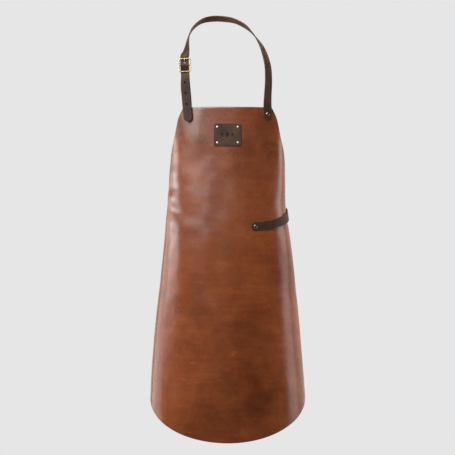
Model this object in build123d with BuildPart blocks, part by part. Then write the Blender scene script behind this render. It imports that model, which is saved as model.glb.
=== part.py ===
from build123d import *
from math import asin, cos, degrees, pi, radians, sin
import os

os.makedirs("parts", exist_ok=True)

# Leather welding apron. Millimetres, +Z up, the apron's outer face towards -Y.
# Origin: on the nape of the wearer's neck, where the neck loop bears, in the apron's centre plane.
# "drop" is the distance below the bib's top edge, "turn" the angle round the wearer from the front.

# Apron sheet: an ellipse in every horizontal section, wrapped round the front of the body.
LEATHER = 2.2
BIB_TOP_Z = -249.0
APRON_DROP = 851.0
HALF_WIDTH_TOP = 147.0
HALF_WIDTH_GAIN = 58.0
WIDTH_GAIN_FROM = 40.0
WIDTH_GAIN_OVER = 800.0
HALF_DEPTH_TOP = 52.0
HALF_DEPTH_GAIN = 80.0
DEPTH_GAIN_ABOVE = 20.0
DEPTH_GAIN_OVER = 700.0
FRONT_Y_TOP = -160.0
FRONT_Y_GAIN = -45.0
SHEET_SECTIONS = 13
SECTION_MARGIN = 20.0

# Side view of the cut edge, as (y, drop): bib corner, armhole curve, side edge, hem.
BIB_CORNER = (-141.0, 0.0)
ARMHOLE = [BIB_CORNER, (-133.5, 30.0), (-124.5, 80.0), (-100.0, 157.0), (-71.0, 250.0), (-52.0, 340.0)]
SIDE_LOW = (-24.0, 640.0)
HEM_BACK = (-24.0, 710.0)
HEM_FRONT = (-205.0, APRON_DROP)
HEM_CORNER_RADIUS = 60.0
PAST_FRONT = -260.0

# Straps.
STRAP_WIDTH = 22.0
STRAP_THICK = 2.8
TAB_THICK = 2.6
LAY_GAP = 0.25
HOLE_RADIUS = 2.25
PAST_EDGE = 1.0

# Studs: a domed screw in front, a tubular post with a flat head behind.
STUD_HEAD_RADIUS = 5.5
STUD_HEAD_RIM = 0.8
STUD_HEAD_HEIGHT = 3.0
STUD_SHANK_RADIUS = 1.6
STUD_SHANK_SHORT = 0.8
STUD_BORE_RADIUS = 1.7
STUD_POST_RADIUS = 2.35
STUD_HOLE_RADIUS = 2.5
STUD_BACK_RADIUS = 5.0
STUD_BACK_THICK = 1.4
STUD_BACK_ROUNDING = 0.5

# Buckles: a rounded wire frame with its centre bar set back, and a tongue on the bar.
BUCKLE_ACROSS = 28.6
BUCKLE_ALONG = 33.6
BUCKLE_CORNER = 5.0
WIRE_RADIUS = 1.7
WIRE_ROUNDING = 1.1
BAR_RADIUS = 1.5
BAR_SET = 3.5
LUG_WIDTH = 2.8
LUG_LENGTH = 3.8
TONGUE_WIDTH = 2.4
TONGUE_RING = 3.4
TONGUE_BORE = 1.6
# Side view of the prong, as (distance up the strap, height over the frame's plane).
PRONG = [
    (1.5, -2.6),
    (7.0, 0.5),
    (12.0, 2.0),
    (19.3, 2.05),
    (19.3, 3.0),
    (17.5, 3.9),
    (11.0, 3.9),
    (5.0, 2.1),
    (0.5, -0.3),
    (0.0, -2.6),
]
SLOT_WIDTH = 4.5
SLOT_FROM = -0.5
SLOT_TO = 9.5
# Strap through the buckle, as (distance up the strap, height over the frame's plane).
BUCKLE_PASS = [
    (30.0, -2.0),
    (20.5, -3.35),
    (15.3, -3.35),
    (8.0, -0.9),
    (0.0, 1.65),
    (-8.0, -0.9),
    (-15.3, -3.35),
    (-18.3, -3.25),
    (-24.0, -1.9),
    (-30.0, -1.2),
]
# Folded strap end on the bar: skived plies, then the double stretch with its rivet.
FOLD_RADIUS = 3.1
FOLD_FLAT = 14.0
FOLD_END = 37.0
FOLD_FRONT = -5.1
FOLD_BACK = -8.3
FOLD_RIVET = 27.0
RIVET_HEAD_RADIUS = 3.8
RIVET_HEAD_THICK = 1.2
RIVET_HEAD_ROUNDING = 0.5
RIVET_SHANK_RADIUS = 1.4
PRONG_GAP = 4.2
PRONG_GAP_REACH = 1.5
FOLD_LEAD = 5.0

# Neck loop: from the right stud up, round the nape, down to the buckle and the hanging tail.
NECK_STUD_X = 102.0
NECK_STUD_DROP = 17.5
STRAP_PAST_STUD = 3.0
BIB_HINGE_Z = -239.0
BIB_HINGE_GAP = 4.6
RIGHT_START_TURN = 24.0
LEFT_START_TURN = 14.0
LEFT_MIDDLE_TURN = 6.0
# Each point of the loop with the turn of its outer face, 0 facing forward, 90 facing away from the loop.
NECK_LOOP = [
    ((103.6, -142.2, -215.0), 31.0),
    ((105.4, -139.0, -179.0), 36.0),
    ((103.8, -131.0, -142.0), 41.0),
    ((95.6, -117.0, -106.0), 56.0),
    ((84.4, -97.0, -77.0), 70.0),
    ((67.6, -70.0, -49.4), 82.0),
    ((49.6, -42.0, -26.6), 97.0),
    ((20.0, -16.0, -6.6), 112.0),
    ((-9.0, -3.0, 1.0), 120.0),
    ((-38.0, 0.0, 2.4), 121.0),
    ((-65.0, -12.0, -4.6), 113.0),
    ((-84.3, -38.0, -21.8), 99.0),
    ((-95.4, -70.0, -41.5), 88.0),
    ((-101.3, -98.0, -60.5), 80.0),
    ((-104.2, -119.0, -79.0), 73.0),
    ((-105.2, -133.0, -94.5), 61.0),
    ((-106.6, -140.6, -107.5), 42.0),
]
NECK_BUCKLE_AT = (-109.6, -148.5, -141.0)
NECK_BUCKLE_OUT = (0.0, -0.995, 0.10)
NECK_BUCKLE_ACROSS = (0.998, 0.0, 0.05)
NECK_TAIL = [
    (-108.6, -151.2, -197.0),
    (-105.9, -152.6, -228.0),
    (-103.2, -154.2, -258.0),
    (-101.8, -155.0, -275.0),
]
NECK_TAIL_HOLES = [(-109.0, -150.8, -186.4), (-107.2, -151.9, -213.6), (-104.7, -153.3, -241.2)]

# Waist loop: from the front right stud round the right side and the back to the left edge.
WAIST_STUD_TURN = 26.0
WAIST_DROP_LOW = 305.0
WAIST_DROP_BACK = 243.0
WAIST_CLIMB_POWER = 1.5
WAIST_LIE_TURN = 45.0
WAIST_STAND_TURN = 88.0
WAIST_STAND_OFF = 2.0
WAIST_SPLIT_TURN = 97.0
WAIST_GAP_TURN = 0.75
WAIST_BACK_DEPTH = 112.0
WAIST_FRONT_STEP = 7.0
WAIST_FRONT_STEPS = 10
WAIST_BACK_STEP = 5.5
WAIST_BACK_STEPS = 20
WAIST_BUCKLE_TURN = 216.0
WAIST_TAIL = [(-43.0, -3.0), (-55.0, -7.3)]
WAIST_HOLES_FROM = 203.0
WAIST_HOLE_STEP = 11.0
WAIST_HOLE_COUNT = 3
SIDE_STUD_TURN = -100.0
TAB_GAP = 1.9
TAB_CLEAR = 1.0
# The tab inside the apron's edge, as (degrees past the stud, gap to the leather).
TAB_LIE = [(0.0, TAB_GAP), (5.0, 1.4), (10.0, 1.3)]

# Label patch and its four rivets.
LABEL_WIDTH = 69.4
LABEL_HEIGHT = 57.5
LABEL_TOP_DROP = 42.7
LABEL_THICK = 2.4
LABEL_CORNER = 5.0
LABEL_RIVET_INSET = 8.7
LABEL_RIVET_HEAD = 3.2
LABEL_RIVET_HEIGHT = 1.6
LABEL_RIVET_SHANK = 1.2
LABEL_RIVET_TAPER = 30.0
BURR_RADIUS = 3.0
BURR_THICK = 1.0


def ease(part):
    """0 to 1 with level ends."""
    part = min(max(part, 0.0), 1.0)
    return part * part * (3 - 2 * part)


def half_width(drop):
    return HALF_WIDTH_TOP + HALF_WIDTH_GAIN * ease((drop - WIDTH_GAIN_FROM) / WIDTH_GAIN_OVER)


def half_depth(drop):
    return HALF_DEPTH_TOP + HALF_DEPTH_GAIN * ease((drop + DEPTH_GAIN_ABOVE) / DEPTH_GAIN_OVER)


def front_y(drop):
    return FRONT_Y_TOP + FRONT_Y_GAIN * ease(drop / APRON_DROP)


def sheet_point(turn, drop):
    """A point of the sheet's outer face."""
    angle = radians(turn)
    y = front_y(drop) + half_depth(drop) * (1 - cos(angle))
    return Vector(half_width(drop) * sin(angle), y, BIB_TOP_Z - drop)


def sheet_normal(turn, drop):
    around = sheet_point(turn + 1, drop) - sheet_point(turn - 1, drop)
    down = sheet_point(turn, drop + 1) - sheet_point(turn, drop - 1)
    return down.cross(around).normalized()


def sheet_plane(turn, drop, off=0.0):
    """A plane on the sheet: local z out of the outer face, local x round the body."""
    normal = sheet_normal(turn, drop)
    around = sheet_point(turn + 1, drop) - sheet_point(turn - 1, drop)
    return Plane(origin=sheet_point(turn, drop) + normal * off, x_dir=around, z_dir=normal)


def directions(points):
    last = len(points) - 1
    return [(points[min(i + 1, last)] - points[max(i - 1, 0)]).normalized() for i in range(last + 1)]


def section_planes(points, outwards):
    """Strap sections: local x is the outward face, local z runs along the strap."""
    planes = []
    for point, along, outward in zip(points, directions(points), outwards):
        face = (outward - along * outward.dot(along)).normalized()
        planes.append(Plane(origin=point, x_dir=face, z_dir=along))
    return planes


def face_plane(section):
    """The strap's own face at a section: local z out of it, local x along the strap."""
    return Plane(origin=section.origin, x_dir=section.z_dir, z_dir=section.x_dir)


def refine(values):
    """Adds a value midway between each two, on a smooth curve through them all."""
    finer = []
    for i in range(len(values) - 1):
        before = values[max(i - 1, 0)]
        after = values[min(i + 2, len(values) - 1)]
        finer += [values[i], (values[i] + values[i + 1]) * (9 / 16) - (before + after) * (1 / 16)]
    return finer + [values[-1]]


def ribbon(sections, thickness=STRAP_THICK, ruled=False):
    with BuildPart() as strip:
        for section in sections:
            with BuildSketch(section):
                Rectangle(thickness, STRAP_WIDTH)
        loft(ruled=ruled)
    return strip.part


def round_end(section, way, thickness=STRAP_THICK):
    """The half round beyond a strap's last section (way 1) or before its first (way -1)."""
    with BuildPart() as tip:
        with BuildSketch(face_plane(section)):
            Circle(STRAP_WIDTH / 2)
            with Locations((way * STRAP_WIDTH / 2, 0)):
                Rectangle(STRAP_WIDTH, STRAP_WIDTH, mode=Mode.INTERSECT)
        extrude(amount=thickness / 2, both=True)
    return tip.part


def side_plane(buckle):
    """The buckle's side view: local x up the strap, local y out of the frame."""
    return Plane(origin=buckle.origin, x_dir=buckle.y_dir, z_dir=buckle.x_dir)


def buckle_frame(buckle):
    """Rounded rim with the set-back centre bar between two lugs."""
    wire = 2 * WIRE_RADIUS
    outer = (BUCKLE_ACROSS + wire, BUCKLE_ALONG + wire, BUCKLE_CORNER + WIRE_RADIUS)
    inner = (BUCKLE_ACROSS - wire, BUCKLE_ALONG - wire, BUCKLE_CORNER - WIRE_RADIUS)
    with BuildPart() as frame:
        with BuildSketch(buckle.offset(-WIRE_RADIUS)):
            RectangleRounded(*outer)
            RectangleRounded(*inner, mode=Mode.SUBTRACT)
        extrude(amount=2 * WIRE_RADIUS)
        fillet(frame.edges(), WIRE_ROUNDING)
        with BuildSketch(buckle.offset(-BAR_SET - LUG_LENGTH / 2)):
            with Locations((-BUCKLE_ACROSS / 2, 0), (BUCKLE_ACROSS / 2, 0)):
                Rectangle(LUG_WIDTH, LUG_LENGTH)
        extrude(amount=BAR_SET + LUG_LENGTH / 2)
        with BuildSketch(side_plane(buckle)):
            with Locations((0, -BAR_SET)):
                Circle(BAR_RADIUS)
        extrude(amount=BUCKLE_ACROSS / 2, both=True)
    return frame


def buckle_tongue(buckle):
    """Ring on the bar and a prong that rises through the strap to lie on the frame's far bar."""
    with BuildPart() as tongue:
        with BuildSketch(side_plane(buckle)):
            with Locations((0, -BAR_SET)):
                Circle(TONGUE_RING)
            with BuildLine():
                Polyline(*PRONG, close=True)
            make_face()
            with Locations((0, -BAR_SET)):
                Circle(TONGUE_BORE, mode=Mode.SUBTRACT)
        extrude(amount=TONGUE_WIDTH / 2, both=True)
    return tongue


def folded_end(buckle):
    """Strap end folded round the bar, with the gap that the tongue works in."""
    with BuildPart() as fold:
        with BuildSketch(side_plane(buckle)):
            with Locations((0, -BAR_SET)):
                Circle(FOLD_RADIUS)
            with BuildLine():
                Polyline(
                    (0, FOLD_RADIUS - BAR_SET),
                    (-FOLD_FLAT, FOLD_FRONT),
                    (-FOLD_END, FOLD_FRONT),
                    (-FOLD_END, FOLD_BACK),
                    (-FOLD_FLAT, FOLD_BACK),
                    (0, -FOLD_RADIUS - BAR_SET),
                    close=True,
                )
            make_face()
            with Locations((0, -BAR_SET)):
                Circle(TONGUE_BORE, mode=Mode.SUBTRACT)
        extrude(amount=STRAP_WIDTH / 2, both=True)
        with BuildSketch(buckle.offset(FOLD_BACK - PAST_EDGE)):
            Rectangle(PRONG_GAP, 2 * (FOLD_RADIUS + PRONG_GAP_REACH))
            with Locations((0, -FOLD_RIVET)):
                Circle(RIVET_SHANK_RADIUS + LAY_GAP)
        extrude(amount=2 * PAST_EDGE - FOLD_BACK, mode=Mode.SUBTRACT)
    return fold.part


def fold_rivet(buckle):
    """Two-headed rivet through the folded strap end."""
    with BuildPart() as rivet:
        with BuildSketch(buckle.offset(FOLD_FRONT)):
            with Locations((0, -FOLD_RIVET)):
                Circle(RIVET_HEAD_RADIUS)
        extrude(amount=RIVET_HEAD_THICK)
        with BuildSketch(buckle.offset(FOLD_BACK - RIVET_HEAD_THICK)):
            with Locations((0, -FOLD_RIVET)):
                Circle(RIVET_HEAD_RADIUS)
        extrude(amount=RIVET_HEAD_THICK)
        fillet(rivet.edges().filter_by(GeomType.CIRCLE).group_by(SortBy.RADIUS)[-1], RIVET_HEAD_ROUNDING)
        with BuildSketch(buckle.offset(FOLD_BACK)):
            with Locations((0, -FOLD_RIVET)):
                Circle(RIVET_SHANK_RADIUS)
        extrude(amount=FOLD_FRONT - FOLD_BACK)
    return rivet


def stud_screw(face, stack):
    """Domed screw: its head on the face, its shank down the post."""
    side = Plane(origin=face.origin, x_dir=face.x_dir, z_dir=-face.y_dir)
    rise = STUD_HEAD_HEIGHT - STUD_HEAD_RIM
    dome_radius = (STUD_HEAD_RADIUS**2 + rise**2) / (2 * rise)
    halfway = asin(STUD_HEAD_RADIUS / dome_radius) / 2
    dome_middle = (dome_radius * sin(halfway), STUD_HEAD_HEIGHT - dome_radius * (1 - cos(halfway)))
    with BuildPart() as screw:
        with BuildSketch(side):
            with BuildLine():
                Polyline(
                    (0, STUD_HEAD_HEIGHT),
                    (0, STUD_SHANK_SHORT - stack),
                    (STUD_SHANK_RADIUS, STUD_SHANK_SHORT - stack),
                    (STUD_SHANK_RADIUS, 0),
                    (STUD_HEAD_RADIUS, 0),
                    (STUD_HEAD_RADIUS, STUD_HEAD_RIM),
                )
                ThreePointArc((STUD_HEAD_RADIUS, STUD_HEAD_RIM), dome_middle, (0, STUD_HEAD_HEIGHT))
            make_face()
        revolve(axis=Axis(face.origin, face.z_dir))
    return screw


def stud_post(face, stack):
    """Flat head behind the leather and a tube up to just under the screw's head."""
    with BuildPart() as post:
        with BuildSketch(face.offset(-stack - STUD_BACK_THICK)):
            Circle(STUD_BACK_RADIUS)
        extrude(amount=STUD_BACK_THICK)
        fillet(post.faces().sort_by(Axis(face.origin, face.z_dir))[0].edges(), STUD_BACK_ROUNDING)
        with BuildSketch(face.offset(-stack)):
            Circle(STUD_POST_RADIUS)
        extrude(amount=stack - LAY_GAP)
        with BuildSketch(face.offset(-stack)):
            Circle(STUD_BORE_RADIUS)
        extrude(amount=stack, mode=Mode.SUBTRACT)
    return post


def cut_disc(face, radius=HOLE_RADIUS, depth=2 * STRAP_THICK):
    """A punch through leather, centred on the face."""
    with BuildPart() as punch:
        with BuildSketch(face):
            Circle(radius)
        extrude(amount=depth, both=True)
    return punch.part


def strap_slot(buckle):
    """The hole that the tongue has drawn out to a slot."""
    with BuildPart() as slot:
        with BuildSketch(buckle.offset(-BAR_SET)):
            with Locations((0, (SLOT_FROM + SLOT_TO) / 2)):
                SlotOverall(SLOT_TO - SLOT_FROM, SLOT_WIDTH, rotation=90)
        extrude(amount=2 * BAR_SET)
    return slot.part


def waist_drop(turn):
    """The waist strap climbs from its front stud towards the back, alike on both sides."""
    from_front = turn if turn <= 180 else 360 - turn
    part = (from_front - WAIST_STUD_TURN) / (180 - WAIST_STUD_TURN)
    climbed = sin(pi / 2 * part) ** WAIST_CLIMB_POWER
    return WAIST_DROP_LOW + (WAIST_DROP_BACK - WAIST_DROP_LOW) * climbed


def waist_on_sheet(turn):
    """Strap lying on the sheet, then standing off it towards the side."""
    stand = ease((turn - WAIST_LIE_TURN) / (WAIST_STAND_TURN - WAIST_LIE_TURN))
    off = LAY_GAP + STRAP_THICK / 2 + WAIST_STAND_OFF * stand
    drop = waist_drop(turn)
    return sheet_point(turn, drop) + sheet_normal(turn, drop) * off, sheet_normal(turn, drop)


def waist_round_back(turn):
    """Strap round the back of the body, on an ellipse of its own."""
    angle = radians(turn)
    side_drop = waist_drop(90)
    across = half_width(side_drop) + STRAP_THICK / 2 + LAY_GAP + WAIST_STAND_OFF
    centre_y = front_y(side_drop) + half_depth(side_drop)
    y = centre_y - WAIST_BACK_DEPTH * cos(angle)
    point = Vector(across * sin(angle), y, BIB_TOP_Z - waist_drop(turn))
    normal = Vector(sin(angle) / across, -cos(angle) / WAIST_BACK_DEPTH, 0).normalized()
    return point, normal


def waist_buckle_plane():
    point, normal = waist_round_back(WAIST_BUCKLE_TURN)
    before, _ = waist_round_back(WAIST_BUCKLE_TURN - 1)
    after, _ = waist_round_back(WAIST_BUCKLE_TURN + 1)
    up_strap = (before - after).normalized()
    return Plane(origin=point, x_dir=up_strap.cross(normal), z_dir=normal)


# Studs' places: a face plane lies on the outer face of what the stud holds; its stack is the leather held.
neck_turn = degrees(asin(NECK_STUD_X / half_width(NECK_STUD_DROP)))
neck_right_face = sheet_plane(neck_turn, NECK_STUD_DROP, STRAP_THICK + 2 * LAY_GAP)
neck_left_face = sheet_plane(-neck_turn, NECK_STUD_DROP, TAB_THICK + 2 * LAY_GAP)
waist_face = sheet_plane(WAIST_STUD_TURN, WAIST_DROP_LOW, STRAP_THICK + 2 * LAY_GAP)
side_stud_drop = waist_drop(WAIST_SPLIT_TURN)
side_face = sheet_plane(SIDE_STUD_TURN, side_stud_drop)
strap_stack = LEATHER + 3 * LAY_GAP + STRAP_THICK
tab_stack = LEATHER + 3 * LAY_GAP + TAB_THICK
side_stack = LEATHER + TAB_GAP + TAB_THICK + TAB_CLEAR

neck_buckle = Plane(origin=NECK_BUCKLE_AT, x_dir=NECK_BUCKLE_ACROSS, z_dir=NECK_BUCKLE_OUT)
waist_buckle = waist_buckle_plane()


def on_buckle(buckle, places):
    """Points in the buckle's middle plane, from (distance up the strap, height over the frame's plane)."""
    return [buckle.from_local_coords(Vector(0, along, out)) for along, out in places]


def single_ply(buckle):
    """Middle of the folded strap where it leaves the doubled stretch."""
    height = FOLD_FRONT - TAB_THICK / 2
    return on_buckle(buckle, [(-FOLD_END, height), (FOLD_LEAD - FOLD_END, height)])


def turned(turn, away):
    """Outward direction between forward (0) and away (90)."""
    return Vector(0, -1, 0) * cos(radians(turn)) + away * sin(radians(turn))


def neck_sections():
    """The long strap above the bib: right side, nape, left side, buckle, tail."""
    hinge_point = sheet_plane(neck_turn, NECK_STUD_DROP, LAY_GAP + STRAP_THICK / 2).origin
    start = Vector(hinge_point.X, hinge_point.Y, BIB_HINGE_Z + BIB_HINGE_GAP)
    loop_points = refine([start] + [Vector(*point) for point, _ in NECK_LOOP])
    turns = refine([RIGHT_START_TURN] + [turn for _, turn in NECK_LOOP])
    passing = on_buckle(neck_buckle, BUCKLE_PASS[1:])
    points = loop_points + passing + [Vector(*point) for point in NECK_TAIL]
    outwards = []
    for turn, along in zip(turns, directions(points)):
        outwards.append(turned(turn, Vector(along.Z, 0, -along.X).normalized()))
    outwards += [neck_buckle.z_dir] * len(passing) + [Vector(0, -1, 0)] * len(NECK_TAIL)
    return section_planes(points, outwards)


def make_apron_panel():
    step = (APRON_DROP + 2 * SECTION_MARGIN) / (SHEET_SECTIONS - 1)
    drops = [step * i - SECTION_MARGIN for i in range(SHEET_SECTIONS)]
    with BuildPart() as apron_panel:
        for drop in drops:
            with BuildSketch(Plane((0, front_y(drop) + half_depth(drop), BIB_TOP_Z - drop))):
                Ellipse(half_width(drop), half_depth(drop))
        loft()
        for drop in drops:
            with BuildSketch(Plane((0, front_y(drop) + half_depth(drop), BIB_TOP_Z - drop))):
                Ellipse(half_width(drop) - LEATHER, half_depth(drop) - LEATHER)
        loft(mode=Mode.SUBTRACT)
        with BuildSketch(Plane.YZ):
            with BuildLine():
                armhole = Spline([(y, BIB_TOP_Z - drop) for y, drop in ARMHOLE])
                low = (SIDE_LOW[0], BIB_TOP_Z - SIDE_LOW[1])
                slope = (HEM_FRONT[1] - HEM_BACK[1]) / (HEM_FRONT[0] - HEM_BACK[0])
                past_drop = HEM_FRONT[1] + slope * (PAST_FRONT - HEM_FRONT[0])
                FilletPolyline(armhole @ 1, low, (HEM_BACK[0], BIB_TOP_Z - HEM_BACK[1]),
                               (PAST_FRONT, BIB_TOP_Z - past_drop), radius=HEM_CORNER_RADIUS)
                Polyline((PAST_FRONT, BIB_TOP_Z - past_drop), (PAST_FRONT, BIB_TOP_Z), armhole @ 0)
            make_face()
        extrude(amount=2 * HALF_WIDTH_TOP, both=True, mode=Mode.INTERSECT)
        for face in (neck_right_face, neck_left_face, waist_face, side_face):
            add(cut_disc(face, STUD_HOLE_RADIUS, 3 * LEATHER), mode=Mode.SUBTRACT)
        for face in label_rivet_faces():
            add(cut_disc(face, LABEL_RIVET_SHANK + LAY_GAP, 3 * LEATHER), mode=Mode.SUBTRACT)
    return apron_panel


def label_rivet_faces():
    """Planes on the label's outer face at its four rivets."""
    faces = []
    for side in (-1, 1):
        turn = degrees(asin(side * (LABEL_WIDTH / 2 - LABEL_RIVET_INSET) / half_width(LABEL_TOP_DROP)))
        for drop in (LABEL_TOP_DROP + LABEL_RIVET_INSET, LABEL_TOP_DROP + LABEL_HEIGHT - LABEL_RIVET_INSET):
            faces.append(sheet_plane(turn, drop, LABEL_THICK + LAY_GAP))
    return faces


def make_label_patch():
    middle_drop = LABEL_TOP_DROP + LABEL_HEIGHT / 2
    reach = LABEL_HEIGHT / 2 + LABEL_CORNER
    drops = [middle_drop - reach, middle_drop, middle_drop + reach]
    middle = (0, front_y(0) + half_depth(0) / 2, BIB_TOP_Z - middle_drop)
    with BuildPart() as label_patch:
        for drop in drops:
            with BuildSketch(Plane((0, front_y(drop) + half_depth(drop), BIB_TOP_Z - drop))):
                Ellipse(half_width(drop) + LABEL_THICK + LAY_GAP, half_depth(drop) + LABEL_THICK + LAY_GAP)
        loft()
        for drop in drops:
            with BuildSketch(Plane((0, front_y(drop) + half_depth(drop), BIB_TOP_Z - drop))):
                Ellipse(half_width(drop) + LAY_GAP, half_depth(drop) + LAY_GAP)
        loft(mode=Mode.SUBTRACT)
        with BuildSketch(Plane(origin=middle, x_dir=(1, 0, 0), z_dir=(0, -1, 0))):
            RectangleRounded(LABEL_WIDTH, LABEL_HEIGHT, LABEL_CORNER)
        extrude(amount=HALF_DEPTH_TOP, mode=Mode.INTERSECT)
        for face in label_rivet_faces():
            add(cut_disc(face, LABEL_RIVET_SHANK + LAY_GAP, 3 * LEATHER), mode=Mode.SUBTRACT)
    return label_patch


def make_label_rivets():
    stack = LABEL_THICK + LEATHER + 2 * LAY_GAP
    with BuildPart() as label_rivets:
        for face in label_rivet_faces():
            with BuildSketch(face):
                Circle(LABEL_RIVET_HEAD)
            extrude(amount=LABEL_RIVET_HEIGHT, taper=LABEL_RIVET_TAPER)
            with BuildSketch(face.offset(-stack - BURR_THICK)):
                Circle(LABEL_RIVET_SHANK)
            extrude(amount=stack + BURR_THICK)
    return label_rivets


def make_label_rivet_burrs():
    stack = LABEL_THICK + LEATHER + 2 * LAY_GAP
    with BuildPart() as label_rivet_burrs:
        for face in label_rivet_faces():
            with BuildSketch(face.offset(-stack - BURR_THICK)):
                Circle(BURR_RADIUS)
                Circle(LABEL_RIVET_SHANK, mode=Mode.SUBTRACT)
            extrude(amount=BURR_THICK)
    return label_rivet_burrs


def make_neck_strap():
    sections = neck_sections()
    with BuildPart() as neck_strap:
        add(ribbon(sections, ruled=True))
        add(round_end(sections[-1], 1))
        add(strap_slot(neck_buckle), mode=Mode.SUBTRACT)
        for hole in NECK_TAIL_HOLES:
            add(cut_disc(Plane(origin=hole, z_dir=(0, -1, 0))), mode=Mode.SUBTRACT)
    return neck_strap


def anchor_strip(face, side, thickness, top_turn):
    """Strap stretch on the bib: round end under the stud, up to the hinge gap over the bib's edge."""
    out = face.z_dir
    stud = face.origin - out * (thickness / 2 + LAY_GAP)
    foot = sheet_plane(side * neck_turn, NECK_STUD_DROP + STRAP_PAST_STUD, thickness / 2 + LAY_GAP)
    edge = Vector(stud.X, stud.Y, BIB_TOP_Z - PAST_EDGE)
    top = Vector(stud.X, stud.Y, BIB_HINGE_Z - BIB_HINGE_GAP)
    outwards = [foot.z_dir, out, out, turned(top_turn, Vector(side, 0, 0))]
    sections = section_planes([foot.origin, stud, edge, top], outwards)
    with BuildPart() as anchor:
        add(ribbon(sections, thickness))
        add(round_end(sections[0], -1, thickness))
        add(cut_disc(face, STUD_HOLE_RADIUS), mode=Mode.SUBTRACT)
    return anchor


def make_buckle_strap():
    """Short strap from the bib's left corner, folded round the neck buckle's bar."""
    face = neck_left_face
    centre = face.origin - face.z_dir * (TAB_THICK / 2 + LAY_GAP)
    low = Vector(centre.X, centre.Y, BIB_HINGE_Z + BIB_HINGE_GAP)
    upper = single_ply(neck_buckle)
    middle = (low + upper[0]) / 2
    left = Vector(-1, 0, 0)
    outwards = [turned(LEFT_START_TURN, left), turned(LEFT_MIDDLE_TURN, left)] + [neck_buckle.z_dir] * 2
    with BuildPart() as buckle_strap:
        add(ribbon(section_planes([low, middle] + upper, outwards), TAB_THICK))
        add(folded_end(neck_buckle))
    return buckle_strap


def make_waist_strap_front():
    """From the front stud round the right side to the point where the loop can tilt."""
    stops = [WAIST_STUD_TURN + step * WAIST_FRONT_STEP for step in range(WAIST_FRONT_STEPS)]
    stops.append(WAIST_SPLIT_TURN - WAIST_GAP_TURN)
    places = [waist_on_sheet(turn) for turn in stops]
    sections = section_planes([point for point, _ in places], [normal for _, normal in places])
    with BuildPart() as waist_strap_front:
        add(ribbon(sections))
        add(round_end(sections[0], -1))
        add(cut_disc(waist_face, STUD_HOLE_RADIUS), mode=Mode.SUBTRACT)
    return waist_strap_front


def make_waist_strap():
    """Round the back from the split, through the waist buckle, to its tail."""
    first = WAIST_SPLIT_TURN + WAIST_GAP_TURN
    places = [waist_round_back(first + step * WAIST_BACK_STEP) for step in range(WAIST_BACK_STEPS)]
    passing = on_buckle(waist_buckle, BUCKLE_PASS + WAIST_TAIL)
    points = [point for point, _ in places] + passing
    outwards = [normal for _, normal in places] + [waist_buckle.z_dir] * len(passing)
    sections = section_planes(points, outwards)
    with BuildPart() as waist_strap:
        add(ribbon(sections, ruled=True))
        add(round_end(sections[-1], 1))
        add(strap_slot(waist_buckle), mode=Mode.SUBTRACT)
        for step in range(WAIST_HOLE_COUNT):
            point, normal = waist_round_back(WAIST_HOLES_FROM - step * WAIST_HOLE_STEP)
            add(cut_disc(Plane(origin=point, z_dir=normal)), mode=Mode.SUBTRACT)
    return waist_strap


def make_waist_tab():
    """Short tab inside the apron's left edge, folded round the waist buckle's bar."""
    inset = LEATHER + TAB_THICK / 2
    inner = [sheet_plane(SIDE_STUD_TURN - past, side_stud_drop, -inset - gap) for past, gap in TAB_LIE]
    outwards = [plane.z_dir for plane in inner] + [waist_buckle.z_dir] * 2
    sections = section_planes([plane.origin for plane in inner] + single_ply(waist_buckle), outwards)
    with BuildPart() as waist_tab:
        add(ribbon(sections, TAB_THICK))
        add(round_end(sections[0], -1, TAB_THICK))
        add(folded_end(waist_buckle))
        add(cut_disc(side_face, STUD_HOLE_RADIUS + TAB_CLEAR, 4 * STRAP_THICK), mode=Mode.SUBTRACT)
    return waist_tab


def write(piece, name):
    piece.part.label = name
    export_step(piece.part, f"parts/{name}.step")


write(make_apron_panel(), "apron_panel")
write(make_label_patch(), "label_patch")
write(make_label_rivets(), "label_rivets")
write(make_label_rivet_burrs(), "label_rivet_burrs")
write(make_neck_strap(), "neck_strap")
write(anchor_strip(neck_right_face, 1, STRAP_THICK, RIGHT_START_TURN), "neck_strap_anchor")
write(anchor_strip(neck_left_face, -1, TAB_THICK, LEFT_START_TURN), "buckle_strap_anchor")
write(make_buckle_strap(), "buckle_strap")
write(make_waist_strap_front(), "waist_strap_front")
write(make_waist_strap(), "waist_strap")
write(make_waist_tab(), "waist_tab")
for name, buckle in (("neck", neck_buckle), ("waist", waist_buckle)):
    write(buckle_frame(buckle), f"{name}_buckle_frame")
    write(buckle_tongue(buckle), f"{name}_buckle_tongue")
    write(fold_rivet(buckle), f"{name}_fold_rivet")
studs = {
    "neck_right": (neck_right_face, strap_stack),
    "neck_left": (neck_left_face, tab_stack),
    "waist_front": (waist_face, strap_stack),
    "waist_side": (side_face, side_stack),
}
for name, (face, stack) in studs.items():
    write(stud_screw(face, stack), f"{name}_stud_screw")
    write(stud_post(face, stack), f"{name}_stud_post")
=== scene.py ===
import math

import bmesh
import bpy
from mathutils import Matrix, Vector, noise


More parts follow.
